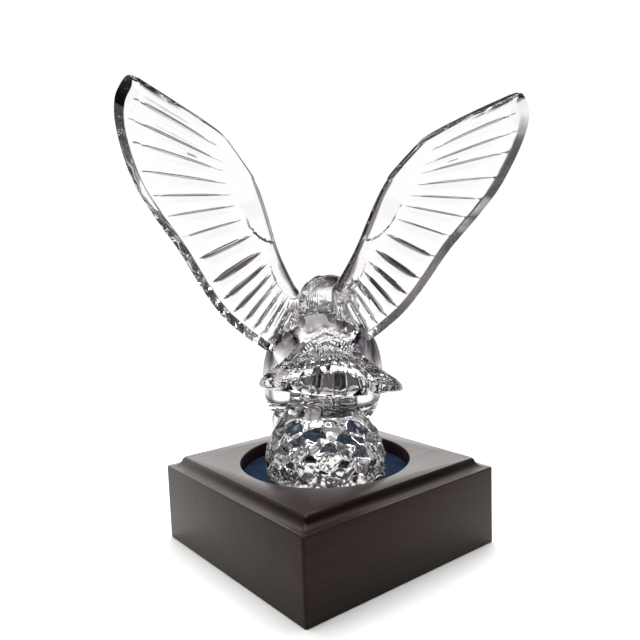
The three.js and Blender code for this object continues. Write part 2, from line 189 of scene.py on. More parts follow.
# Thighs
THIGH_OUT = 19.0
THIGH_BACK = -13.0
THIGH_UP = 49.0
THIGH_RADII = (12.5, 15.0, 25.0)
THIGH_LEAN = -0.22
THIGH_TUCK = -0.05

# Head, turned to the eagle's right: forward, half width, above, below, sag
HEAD_AT = (-7.0, -22.0, 88.8)
HEAD_TURN = math.radians(62)
HEAD_STATIONS = [
    (-14.5, 3, 3, 4, 0), (-12, 7, 5.8, 7.5, 0), (-8, 9.6, 8.4, 10.5, 0),
    (-2, 10.6, 9.7, 11, 0), (4, 10.2, 10.2, 9.5, 0), (8.5, 8.6, 9.2, 7, 0),
    (11, 5.8, 6.6, 5, 0), (13, 4.6, 5.2, 4.4, -0.2), (17, 4, 4.4, 3.8, -0.8),
    (20.5, 3, 3.2, 3, -2.4), (23, 1.9, 2, 2.2, -5.2), (23.6, 0.7, 0.8, 1.2, -8.6),
]
HEAD_SIDES = 56
HEAD_RINGS = 66
MOUTH_DEPTH = 0.5
CROWN_DEPTH = 0.3
CROWN_FLUTES = 11
BROW_RADII = (2.2, 5.0, 1.5)
BROW_AT = (7.4, -7.5, 5.4)
BROW_TURN = math.radians(14)
EYE_RADIUS = 1.9
EYE_AT = (8.3, -7.0, 3.0)

# Toes: reach from the ankle, up, and share of the full thickness
TOE_STATIONS = [
    (6, 33, 1), (13, 31.5, 1.05), (19, 28.5, 0.95),
    (23.5, 24, 0.8), (25.5, 19, 0.45), (25, 15.5, 0.12),
]
TOE_ANKLE = (8.5, -5.0)
TOE_SPREAD = (-26, 4, 34)
TOE_RADIUS = 3.1
KNUCKLE_RISE = 0.09

SHARP_EDGE = math.radians(38)

# Painted shade on the felt under the crystal, and the tint of the lacquer's shine
FELT_PAINTED_SHADE = "#07090d"
LACQUER_SHINE = "#e6c4b8"

# The floor, and the studio as the crystal sees it: shades from the gaps between the walls to the middle of
# each wall, and from straight below to straight above. The backdrop is how dull surfaces see it.
FLOOR_RADIUS = 420
WALL_SHADES = [
    (0.0, "#d2cfd1"), (0.12, "#b9b5b8"), (0.3, "#68636a"), (0.48, "#bdbabc"),
    (0.62, "#ffffff"), (1.0, "#ffffff"),
]
STOREY_SHADES = [
    (0.0, "#4a444b"), (0.12, "#2d2a32"), (0.2, "#3c383f"), (0.3, "#625b61"),
    (0.36, "#a59fa3"), (0.41, "#ffffff"), (0.61, "#ffffff"), (0.635, "#857c80"),
    (0.67, "#3b363b"), (0.71, "#2a262b"), (0.725, "#ffffff"), (0.775, "#ffffff"),
    (0.79, "#4d494f"), (0.9, "#6a656b"), (0.94, "#ffffff"), (1.0, "#ffffff"),
]
BACKDROP_BRIGHTNESS = (0.1, 3.0)
STUDIO_BRIGHTNESS = 1.05
MOST_BOUNCES = 24


# Numbers and curves

def smooth_step(start, end, value):
    x = min(max((value - start) / (end - start), 0.0), 1.0)
    return x * x * (3 - 2 * x)


def curve_point(stations, share):
    """Point at a share of the way along a smooth curve that passes through all its stations."""
    reach = share * (len(stations) - 1)
    index = min(int(reach), len(stations) - 2)
    t = reach - index
    before = Vector(stations[max(index - 1, 0)])
    here = Vector(stations[index])
    there = Vector(stations[index + 1])
    after = Vector(stations[min(index + 2, len(stations) - 1)])
    leaving = (there - before) * 0.5
    arriving = (after - here) * 0.5
    cubic = (here - there) * 2 + leaving + arriving
    square = (there - here) * 3 - leaving * 2 - arriving
    return ((cubic * t + square) * t + leaving) * t + here


def heading(stations, share):
    """Unit direction in which the first two numbers of the stations change at that share."""
    step = 0.01
    change = curve_point(stations, min(share + step, 1)) - curve_point(stations, max(share - step, 0))
    return Vector(change[:2]).normalized()


def from_hex(code):
    """A colour written as sRGB hex, as linear red, green and blue."""
    parts = [int(code[i:i + 2], 16) / 255 for i in (1, 3, 5)]
    return tuple(c / 12.92 if c <= 0.04045 else ((c + 0.055) / 1.055) ** 2.4 for c in parts)


# Shapes

def tube(sides, rings):
    """A closed upright tube: its angle runs round Z, and its height from 0 to 1."""
    bm = bmesh.new()
    bmesh.ops.create_cone(bm, cap_ends=True, segments=sides, radius1=1, radius2=1, depth=1)
    bmesh.ops.translate(bm, vec=(0, 0, 0.5), verts=bm.verts)
    upright = [e for e in bm.edges if abs(e.verts[0].co.z - e.verts[1].co.z) > 0.5]
    bmesh.ops.subdivide_edges(bm, edges=upright, cuts=rings - 1, use_grid_fill=True)
    return bm


def slab(columns, rows):
    """A closed plate: x and y run from 0 to 1 over its faces, and z is 0 on one and 1 on the other."""
    bm = bmesh.new()
    bmesh.ops.create_grid(bm, x_segments=columns, y_segments=rows, size=0.5)
    bmesh.ops.translate(bm, vec=(0.5, 0.5, 0), verts=bm.verts)
    made = bmesh.ops.extrude_face_region(bm, geom=bm.faces[:])
    lifted = [item for item in made["geom"] if isinstance(item, bmesh.types.BMVert)]
    bmesh.ops.translate(bm, vec=(0, 0, 1), verts=lifted)
    return bm


def reshape(bm, place):
    """Moves every vertex of a tube to place(angle, share)."""
    for vert in bm.verts:
        vert.co = place(math.atan2(vert.co.y, vert.co.x), min(max(vert.co.z, 0.0), 1.0))
    return bm


def to_object(bm, name, turned=Matrix()):
    """Closes a shape made in millimetres, points its faces outwards and puts it in the scene in metres."""
    bmesh.ops.remove_doubles(bm, verts=bm.verts, dist=1e-4)
    bmesh.ops.transform(bm, matrix=Matrix.Scale(MILLIMETRE, 4) @ turned, verts=bm.verts)
    bmesh.ops.recalc_face_normals(bm, faces=bm.faces)
    mesh = bpy.data.meshes.new(name)
    bm.to_mesh(mesh)
    bm.free()
    piece = bpy.data.objects.new(name, mesh)
    bpy.context.scene.collection.objects.link(piece)
    return piece


def apply_modifiers(piece):
    """Keeps the shape that the modifiers give, without the modifiers."""
    evaluated = piece.evaluated_get(bpy.context.evaluated_depsgraph_get())
    finished = bpy.data.meshes.new_from_object(evaluated)
    piece.modifiers.clear()
    old, piece.data = piece.data, finished
    bpy.data.meshes.remove(old)
    finished.name = piece.name


def combine(piece, others, operation="UNION"):
    """Joins or cuts a piece with the others, which are used up."""
    for other in others:
        modifier = piece.modifiers.new(other.name, "BOOLEAN")
        modifier.operation = operation
        modifier.solver = "MANIFOLD"
        modifier.object = other
    apply_modifiers(piece)
    for other in others:
        bpy.data.objects.remove(other)
    check_closed(piece)


def check_closed(piece):
    bm = bmesh.new()
    bm.from_mesh(piece.data)
    open_edges = sum(1 for edge in bm.edges if len(edge.link_faces) != 2)
    bm.free()
    if open_edges:
        raise RuntimeError(f"{piece.name} has {open_edges} open edges")


def dress(piece, material, node):
    """Smooths a finished piece, gives it its finish and puts it in place of its solid."""
    piece.data.materials.clear()
    piece.data.materials.append(material)
    piece.data.shade_smooth()
    piece.data.set_sharp_from_angle(angle=SHARP_EDGE)
    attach(piece, "root")
    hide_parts(node)


# Crystal

def hollows_on(profile, count, radius, turn):
    """Middles and radii of hollows spread evenly over a turned shape."""
    tree = kdtree.KDTree(count)
    radii = []
    for n in range(count):
        reach, height = curve_point(profile, (n + 0.5) / count)
        angle = n * turn
        tree.insert((reach * math.cos(angle), reach * math.sin(angle), height), n)
        radii.append(radius * (0.8 + 0.4 * (n * 0.618 % 1)))
    tree.balance()
    return tree, radii


def hollow_depth(hollows, point, radius, depth):
    tree, radii = hollows
    found = tree.find_range(point, radius * 1.2)
    return max((depth * (1 - (distance / radii[n]) ** 2) for _, n, distance in found), default=0.0)


def rock(scoop_depth):
    scoops = hollows_on(ROCK_PROFILE, SCOOP_COUNT, SCOOP_RADIUS, 5 * GOLDEN_ANGLE)
    dents = hollows_on(ROCK_PROFILE, DENT_COUNT, DENT_RADIUS, GOLDEN_ANGLE)

    def place(angle, share):
        radius, height = curve_point(ROCK_PROFILE, share)
        point = Vector((radius * math.cos(angle), radius * math.sin(angle), height))
        inward = 0.6 * max(0.0, hollow_depth(scoops, point, SCOOP_RADIUS, scoop_depth))
        inward += max(0.0, hollow_depth(dents, point, DENT_RADIUS, DENT_DEPTH))
        # The side under the claws is smoother
        inward *= ROCK_FRONT_SHARE + (1 - ROCK_FRONT_SHARE) * smooth_step(-0.4, 0.3, math.sin(angle))
        keep = 1 - inward * smooth_step(0, 0.02, share) / radius
        point.x = point.x * keep + ROCK_SHIFT
        point.y = point.y * keep + ROCK_BACK * (1 - height / ROCK_PROFILE[-1][1])
        return point

    return to_object(reshape(tube(ROCK_SIDES, ROCK_RINGS), place), "rock")


def wing_set(out, up):
    reach = math.hypot(out - WING_ROOT[0], up - WING_ROOT[1])
    return WING_ROOT_SET + WING_SWEEP * (reach / WING_SWEEP_REACH) ** 2


def wing_plan(along, across):
    """Plan point, and its distances in millimetres from the hinge, the rim and the leading edge."""
    hinge = curve_point(WING_HINGE, along)
    spread = curve_point(WING_RIM, along) - hinge
    bow = LEADING_BOW * smooth_step(0.6, 1, along) * math.sin(math.pi * math.sqrt(across))
    normal = Vector((-spread.y, spread.x)).normalized()
    plan = hinge + spread * across + normal * bow
    leading = (curve_point(WING_HINGE, 1) * (1 - across) + curve_point(WING_RIM, 1) * across - plan).length
    blunt = max(0.0, along / TIP_BLUNTING_ALONG - 1 / TIP_BLUNTING_ALONG + 1) ** 2
    blunt *= max(0.0, across / TIP_BLUNTING_ACROSS - 1 / TIP_BLUNTING_ACROSS + 1) ** 2
    plan = plan - Vector(TIP_BLUNTING_WAY) * TIP_BLUNTING * blunt
    return plan, spread.length * across, spread.length * (1 - across), leading if along > 0.8 else 99.0


def feather_cut(feather, along, across, lens_depth):
    """Depth of the cut beside a feather; feather runs from 0 to 1 over each one."""
    border = 1 - abs(feather - 0.5) * 2
    change = smooth_step(*CUT_CHANGE, along)
    start = CUT_START[0] + (CUT_START[1] - CUT_START[0]) * change
    share = (across - start) / (0.93 + 0.05 * change - start)
    if not 0 < share < 1:
        return 0.0
    belly = math.sin(math.pi * share ** 0.85)
    width = (LENS_WIDTH + (LINE_WIDTH - LENS_WIDTH) * change) * belly + 0.001
    depth = (lens_depth + (LINE_DEPTH - lens_depth) * change) * min(1.0, belly * 1.4)
    cut = depth * max(0.0, 1 - border / width)
    dome = FEATHER_DOME * (1 - border) ** 2 * belly
    quill = QUILL_RISE * max(0.0, 1 - abs(feather - 0.5) * QUILL_SHARPNESS) * belly
    return (cut + dome - quill) * smooth_step(0.02, 0.08, along)


def covert_rise(point):
    """Height of the smooth half ovals above the feathers, crisp at their feet."""
    rise = 0.0
    for foot, top, bulge, height in COVERT_PATCHES:
        foot, top = Vector(foot), Vector(top)
        chord = (top - foot) / 2
        offset = point - (foot + top) / 2
        lengthways = offset.dot(chord.normalized()) / chord.length
        sideways = offset.dot(Vector((chord.y, -chord.x)).normalized()) / bulge
        inside = 1 - math.hypot(lengthways, sideways)
        crisp = height * (1 - 0.75 * smooth_step(-0.5, 0.5, lengthways))
        rise = max(rise, crisp * smooth_step(-0.03, 0.07, inside))
    return rise


def rounding(distance, radius):
    """Share of the full thickness that is left at a distance from a rounded edge."""
    return math.sqrt(max(0.0, 1 - (1 - min(distance / radius, 1.0)) ** 2))


def wing(side, lens_depth):
    bm = slab(FEATHERS * FEATHER_COLUMNS, WING_ROWS)
    step = 0.5
    for vert in bm.verts:
        # Columns gather at the cuts, and rows at the hinge and the rim
        feather = vert.co.x * FEATHERS % 1
        along = vert.co.x - COLUMN_GATHERING * math.sin(math.tau * feather) / FEATHERS
        along = min(max(along, 0.0), 1.0) ** FEATHER_CROWDING
        feather = (feather - COLUMN_GATHERING * math.sin(math.tau * feather)) % 1
        across = min(max(vert.co.y - ROW_GATHERING * math.sin(math.tau * vert.co.y), 0.0), 1.0)
        plan, from_hinge, from_rim, from_leading = wing_plan(along, across)
        here = wing_set(plan.x, plan.y)
        slope_out = (wing_set(plan.x + step, plan.y) - here) / step
        slope_up = (wing_set(plan.x, plan.y + step) - here) / step
        normal = Vector((-slope_out, 1, -slope_up)).normalized()
        root = 1 - smooth_step(0.05, 0.5, along * 0.9 + across * 0.3)
        thickness = WING_THICKNESS + (WING_ROOT_THICKNESS - WING_THICKNESS) * root
        edge = min(rounding(from_hinge, thickness / 2), rounding(from_leading, LEADING_ROUNDING))
        half = (WING_EDGE_THICKNESS + (thickness - WING_EDGE_THICKNESS) * edge) / 2
        cut = feather_cut(feather, along, across, lens_depth)
        tip = smooth_step(1.0, 0.96, along)
        width = RIM_WIDTH * (RIM_SHARE_AT_TIP + (1 - RIM_SHARE_AT_TIP) * tip)
        bevel = max(0.0, 1 - from_rim / width)
        if vert.co.z < 0.5:
            lift = cut * FRONT_CUT_SHARE * (1 - smooth_step(*CUT_CHANGE, along)) * (bevel == 0) - half
            lift += (half - WING_EDGE_THICKNESS / 2) * bevel
        else:
            inner = width + TOOTH_REACH * feather * tip
            stepped = smooth_step(inner + RIM_STEP_SLOPE[0], inner + RIM_STEP_SLOPE[1], from_rim)
            top = half - RIM_STEP * stepped * edge - cut * (1 - stepped) + covert_rise(plan) * edge
            lift = top + (WING_EDGE_THICKNESS / 2 - top) * bevel
        vert.co = Vector((plan.x, here, plan.y)) + normal * lift
    root_at = Matrix.Translation((WING_ROOT[0], 0, WING_ROOT[1]))
    lifted = root_at @ Matrix.Rotation(-side * WING_LIFT, 4, "Y") @ root_at.inverted()
    shifted = Matrix.Translation((WING_SHIFT, 0, 0)) @ Matrix.Scale(side, 4, (1, 0, 0))
    bmesh.ops.transform(bm, matrix=shifted @ lifted, verts=bm.verts)
    return to_object(bm, "left wing" if side > 0 else "right wing")


def tail(flute_depth, swing):
    bm = slab(TAIL_FEATHERS * TAIL_FEATHER_COLUMNS, TAIL_ROWS)
    for vert in bm.verts:
        side = vert.co.x * 2 - 1
        back = vert.co.y * (1 + TAIL_HIDDEN_SHARE) - TAIL_HIDDEN_SHARE
        shown = max(back, 0.0)
        half = TAIL_ROOT_HALF + (TAIL_END_HALF - TAIL_ROOT_HALF) * shown ** 1.15
        half += TAIL_HIDDEN_TAPER * min(back, 0.0)
        end = TAIL_LENGTH - TAIL_CORNER_SETBACK * abs(side) ** 1.25
        end += TAIL_LIP * smooth_step(TAIL_LIP_START, 1, back) * (vert.co.z < 0.5)
        corner = smooth_step(0.86, 1, abs(side)) * smooth_step(0.8, 1, back)
        half -= TAIL_CORNER_ROUNDING * corner
        end -= TAIL_CORNER_ROUNDING * corner
        if vert.co.z > 0.5:
            beside = 1 - math.exp(-((side / TAIL_CREST_WIDTH) ** 2))
            drop = (TAIL_SIDE_DROP[0] + TAIL_SIDE_DROP[1] * back) * beside
            valley = abs((side + 1) / 2 * TAIL_FEATHERS % 1 - 0.5) * 2
            reach = smooth_step(0.1, 0.45, back) * (1 - 0.9 * smooth_step(0.88, 1, back))
            height = RUMP_HEIGHT - TAIL_CREST_FALL * back - drop - flute_depth * valley ** 2 * reach
        else:
            height = TAIL_UNDERSIDE + TAIL_UNDERSIDE_RISE * shown ** 0.7
            height += TAIL_UNDERSIDE_LIFT * shown * side * side
            height += TAIL_LIP_RISE * smooth_step(0.94, 1, back)
        vert.co = (side * half + TAIL_SHIFT * back, TAIL_START + end * back, height)
    return to_object(bm, "tail", swing)


def body():
    def place(angle, share):
        back, up, half_width, half_depth, aside = curve_point(BODY_STATIONS, share)
        along = heading(BODY_STATIONS, share)
        turn = angle + math.pi / 2 if angle < math.pi / 2 else angle - 1.5 * math.pi
        away = abs(turn)
        # Chevrons step down the back, and scales overlap in rows on the breast
        sloped = share + CHEVRON_SLOPE * away
        mantle = smooth_step(0.2, 0.26, share) * smooth_step(0.5, 0.48, sloped) * smooth_step(1.5, 1.2, away)
        chevron = sloped * CHEVRONS % 1
        breast = smooth_step(0.15, 0.25, share) * smooth_step(0.98, 0.9, share) * smooth_step(1.5, 1.9, away)
        row = share * BREAST_ROWS
        scale = abs((turn * 4 + 0.5 * (int(row) % 2)) % 1 - 0.5) * 2
        breast *= (row + 0.45 * (1 - scale ** 2)) % 1
        relief = CHEVRON_STEP * mantle * chevron + BREAST_SCALE * breast
        depth = (half_depth - relief) * math.cos(turn)
        wide = aside + (half_width - relief) * math.sin(turn)
        return Vector((wide, back + along.y * depth, up - along.x * depth))

    return to_object(reshape(tube(BODY_SIDES, BODY_RINGS), place), "body")


def nape():
    def place(angle, share):
        back, up, half_width, half_depth, aside = curve_point(NAPE_STATIONS, share)
        along = heading(NAPE_STATIONS, share)
        flute = abs(math.sin(angle * NAPE_FLUTES / 2))
        fluted = 1 - NAPE_FLUTE * smooth_step(0.05, 0.3, share) * flute / half_width
        depth = half_depth * fluted * math.sin(angle)
        wide = aside + half_width * fluted * math.cos(angle)
        return Vector((wide, back + along.y * depth, up - along.x * depth))

    return to_object(reshape(tube(NAPE_FLUTES * 5, 24), place), "nape")


def leg_block(swing):
    def place(angle, share):
        up, half_width, half_depth = curve_point(LEG_STATIONS, share)
        front = smooth_step(0.2, -0.4, math.sin(angle))
        feathered = 1 - LEG_FEATHERING * front * abs(math.sin(angle * LEG_FLUTES))
        back = LEG_BACK + half_depth * feathered * math.sin(angle)
        return Vector((half_width * feathered * math.cos(angle), back, up))

    return to_object(reshape(tube(120, 20), place), "legs", swing)


def ellipsoid(name, radii, turned, segments=56):
    bm = bmesh.new()
    bmesh.ops.create_uvsphere(bm, u_segments=segments, v_segments=segments // 2, radius=1)
    bmesh.ops.scale(bm, vec=radii, verts=bm.verts)
    return to_object(bm, name, turned)


def thigh(side, swing):
    lean = Matrix(((1, 0, side * THIGH_TUCK, 0), (0, 1, THIGH_LEAN, 0), (0, 0, 1, 0), (0, 0, 0, 1)))
    at = Matrix.Translation((side * THIGH_OUT, THIGH_BACK, THIGH_UP))
    return ellipsoid("thigh", THIGH_RADII, swing @ at @ lean)


def head_parts():
    set_in = Matrix.Translation(HEAD_AT) @ Matrix.Rotation(-HEAD_TURN, 4, "Z")

    def place(angle, share):
        forward, half_width, above, below, sag = curve_point(HEAD_STATIONS, share)
        rise = math.sin(angle)
        mouth = MOUTH_DEPTH * smooth_step(0.6, 0.7, share) * smooth_step(0.28, 0.0, abs(rise + 0.32))
        crown = CROWN_DEPTH * smooth_step(0.62, 0.5, share) * abs(math.sin(angle * CROWN_FLUTES + share * 4))
        keep = 1 - (mouth + crown) / max(half_width, 2)
        return Vector((
            half_width * math.cos(angle) * keep,
            -forward,
            sag + rise * keep * (above if rise > 0 else below),
        ))

    parts = [to_object(reshape(tube(HEAD_SIDES, HEAD_RINGS), place), "head", set_in)]
    for side in (1, -1):
        brow_at = Matrix.Translation((side * BROW_AT[0], BROW_AT[1], BROW_AT[2]))
        turned = set_in @ brow_at @ Matrix.Rotation(side * BROW_TURN, 4, "Z")
        parts.append(ellipsoid("brow", BROW_RADII, turned, 24))
        eye_at = set_in @ Matrix.Translation((side * EYE_AT[0], EYE_AT[1], EYE_AT[2]))
        parts.append(ellipsoid("eye", (EYE_RADIUS,) * 3, eye_at, 24))
    return parts


def toe(side, spread):
    """A toe leaves the leg forwards, bends over the shoulder of the rock and ends in a claw."""
    angle = math.radians(side * spread)
    outward = Vector((math.sin(angle), -math.cos(angle), 0))
    sideways = Vector((math.cos(angle), math.sin(angle), 0))
    ankle = Vector((side * TOE_ANKLE[0], TOE_ANKLE[1], 0))

    def place(turn, share):
        reach, up, size = curve_point(TOE_STATIONS, share)
        along = heading(TOE_STATIONS, share)
        rise = outward * -along.y + Vector((0, 0, along.x))
        knuckles = 1 + KNUCKLE_RISE * math.cos(share * 7 * math.pi) * smooth_step(0.75, 0.5, share)
        radius = TOE_RADIUS * size * knuckles
        around = sideways * (math.cos(turn) * radius) + rise * (math.sin(turn) * radius)
        return ankle + outward * reach + Vector((0, 0, up)) + around

    return to_object(reshape(tube(24, 30), place), "toe")


# Finishes

def add_node(tree, kind, inputs=None, **settings):
    """Adds a node, gives it its settings, and sets or links its inputs."""
    node = tree.nodes.new(kind)
    for name, value in settings.items():
        setattr(node, name, value)
    for name, value in (inputs or {}).items():
        if isinstance(value, bpy.types.NodeSocket):
            tree.links.new(value, node.inputs[name])
        else:
            node.inputs[name].default_value = value
    return node


def new_material(name):
    """A material with only its output and its shader."""
    material = bpy.data.materials.new(name)
    material.use_nodes = True
    tree = material.node_tree
    tree.nodes.clear()
    shader = add_node(tree, "ShaderNodeBsdfPrincipled")
    add_node(tree, "ShaderNodeOutputMaterial", {"Surface": shader.outputs["BSDF"]})
    return material, tree, shader


def mottled(tree, fine, broad, span, dark, light):
    """A colour that goes from dark to light as two noises multiplied together go over a span."""
    mixed = add_node(
        tree, "ShaderNodeMath", {0: fine.outputs["Fac"], 1: broad.outputs["Fac"]}, operation="MULTIPLY")
    shade = add_node(
        tree, "ShaderNodeMapRange",
        {"Value": mixed.outputs["Value"], "From Min": span[0], "From Max": span[1]})
    colour = add_node(
        tree, "ShaderNodeMix",
        {"Factor": shade.outputs["Result"], "A": (*dark, 1), "B": (*light, 1)}, data_type="RGBA")
    return colour.outputs["Result"]


def lead_crystal(tint):
    """Lead crystal, pressed, cut and flame polished: clear, with faint ripples left by the polishing."""
    material, tree, shader = new_material("lead crystal, flame polished")
    shader.inputs["Base Color"].default_value = (*tint, 1)
    shader.inputs["Roughness"].default_value = 0.0
    shader.inputs["IOR"].default_value = 1.545
    shader.inputs["Transmission Weight"].default_value = 1.0
    place = add_node(tree, "ShaderNodeTexCoord").outputs["Object"]
    # Ripples about 9 mm apart
    ripple = add_node(tree, "ShaderNodeTexNoise", {"Vector": place, "Scale": 110.0, "Detail": 1.0})
    bump = add_node(
        tree, "ShaderNodeBump", {"Height": ripple.outputs["Fac"], "Strength": 0.25, "Distance": 0.0004})
    tree.links.new(bump.outputs["Normal"], shader.inputs["Normal"])
    return material


def stained_hardwood(dark, light):
    """Fine straight-grained hardwood, stained very dark, with a satin lacquer."""
    material, tree, shader = new_material("stained hardwood, satin lacquer")
    place = add_node(tree, "ShaderNodeTexCoord").outputs["Object"]
    # Grain lines about 1.2 mm apart, drawn out along X
    along = add_node(tree, "ShaderNodeMapping", {"Vector": place, "Scale": (0.03, 1.0, 1.0)})
    grain = add_node(
        tree, "ShaderNodeTexNoise",
        {"Vector": along.outputs["Vector"], "Scale": 800.0, "Detail": 5.0, "Distortion": 0.3})
    # Broad bands of the board, about 14 mm apart
    bands = add_node(
        tree, "ShaderNodeTexNoise", {"Vector": along.outputs["Vector"], "Scale": 70.0, "Detail": 3.0})
    colour = mottled(tree, grain, bands, (0.12, 0.42), dark, light)
    tree.links.new(colour, shader.inputs["Base Color"])
    rough = add_node(
        tree, "ShaderNodeMapRange", {"Value": grain.outputs["Fac"], "To Min": 0.26, "To Max": 0.44})
    tree.links.new(rough.outputs["Result"], shader.inputs["Roughness"])
    bump = add_node(
        tree, "ShaderNodeBump", {"Height": grain.outputs["Fac"], "Strength": 0.5, "Distance": 0.0002})
    tree.links.new(bump.outputs["Normal"], shader.inputs["Normal"])
    shader.inputs["Specular IOR Level"].default_value = 0.25
    shader.inputs["Specular Tint"].default_value = (*from_hex(LACQUER_SHINE), 1)
    return material


def wool_felt(dark, light):
    """Short pressed wool felt: dull, faintly fuzzy and mottled, with painted shade under the crystal's foot.
    """
    material, tree, shader = new_material("pressed wool felt")
    place = add_node(tree, "ShaderNodeTexCoord").outputs["Object"]
    # Tufts about 0.7 mm across, over a mottle about 9 mm across
    tufts = add_node(tree, "ShaderNodeTexNoise", {"Vector": place, "Scale": 1400.0, "Detail": 3.0})
    mottle = add_node(tree, "ShaderNodeTexNoise", {"Vector": place, "Scale": 110.0, "Detail": 2.0})
    colour = mottled(tree, tufts, mottle, (0.1, 0.45), dark, light)
    # Painted shade: the felt is painted nearly black under the crystal's foot, standing in for the shadow
    # that the crystal does not cast. The distance is from the middle of the base's underside: on the felt's
    # top, 47.5 to 49 mm is 29 to 31 mm from the axis
    reach = add_node(tree, "ShaderNodeVectorMath", {0: place}, operation="LENGTH")
    painted_shade_reach = add_node(
        tree, "ShaderNodeMapRange",
        {"Value": reach.outputs["Value"], "From Min": 0.0475, "From Max": 0.049})
    felt_and_painted_shade = add_node(
        tree, "ShaderNodeMix",
        {"Factor": painted_shade_reach.outputs["Result"], "A": (*from_hex(FELT_PAINTED_SHADE), 1), "B": colour},
        data_type="RGBA")
    tree.links.new(felt_and_painted_shade.outputs["Result"], shader.inputs["Base Color"])
    bump = add_node(
        tree, "ShaderNodeBump", {"Height": tufts.outputs["Fac"], "Strength": 0.8, "Distance": 0.0004})
    tree.links.new(bump.outputs["Normal"], shader.inputs["Normal"])
    shader.inputs["Roughness"].default_value = 0.95
    shader.inputs["Specular IOR Level"].default_value = 0.1
    return material


def painted_board(colour):
    """Matt white painted board for the floor, rolled, so faintly uneven."""
    material, tree, shader = new_material("matt painted board")
    place = add_node(tree, "ShaderNodeTexCoord").outputs["Object"]
    stipple = add_node(tree, "ShaderNodeTexNoise", {"Vector": place, "Scale": 300.0, "Detail": 2.0})
    bump = add_node(
        tree, "ShaderNodeBump", {"Height": stipple.outputs["Fac"], "Strength": 0.05, "Distance": 0.0005})
    tree.links.new(bump.outputs["Normal"], shader.inputs["Normal"])
    shader.inputs["Base Color"].default_value = (*colour, 1)
    shader.inputs["Roughness"].default_value = 0.9
    shader.inputs["Specular IOR Level"].default_value = 0.1
    return material


# Settings

def length(name, description, default):
    return bpy.props.FloatProperty(
        name=name, description=description, default=default * MILLIMETRE, min=0, unit="LENGTH", precision=4)


def colour(name, description, code):
    return bpy.props.FloatVectorProperty(
        name=name, description=description, default=from_hex(code), subtype="COLOR", size=3, min=0, max=1)


class EagleBaseSettings(bpy.types.PropertyGroup):
    """Sizes of the wooden base and its recess."""
    side: length("Side", "Length of each side of the square base", 120)
    corner: length("Corner radius", "Radius of the upright corners", 1.4)
    land: length("Land height", "Height of the flat land below the moulding", 39.6)
    top: length("Top height", "Height of the raised top", 44.3)
    inset: length("Top inset", "How far the raised top is set in from the sides", 7)
    easing: length("Edge easing", "Radius of the eased edges", 0.6)
    recess_radius: length("Recess radius", "Radius of the round recess", 43.4)
    recess_floor: length("Recess floor", "Height of the recess floor", 36.3)
    felt_radius: length("Felt radius", "Radius of the felt lining", 42.9)
    felt_bottom: length("Felt underside", "Height of the felt's underside", 36.6)
    felt_thickness: length("Felt thickness", "Thickness of the felt lining", 1.1)


class EagleCrystalSettings(bpy.types.PropertyGroup):
    """Depths of the carving in the crystal."""
    feather_cut: length("Feather cuts", "Depth of the deepest cuts between the wing feathers", LENS_DEPTH)
    tail_flute: length("Tail flutes", "Depth of the flutes between the tail feathers", TAIL_FLUTE)
    scoop_depth: length("Rock hollows", "Depth of the hammered hollows in the rock", 1.7)


class EagleFinishSettings(bpy.types.PropertyGroup):
    """Colours of the finishes and the floor."""
    crystal: colour("Crystal", "Tint of the crystal", "#fcfbfa")
    wood_dark: colour("Wood, dark grain", "Darker colour of the stained wood", "#060404")
    wood_light: colour("Wood, light grain", "Lighter colour of the stained wood", "#20120e")
    felt_dark: colour("Felt, dark", "Darker colour of the felt", "#020c1a")
    felt_light: colour("Felt, light", "Lighter colour of the felt", "#08243f")
    floor: colour("Floor", "Colour of the floor", "#f4f4f2")


# Operators

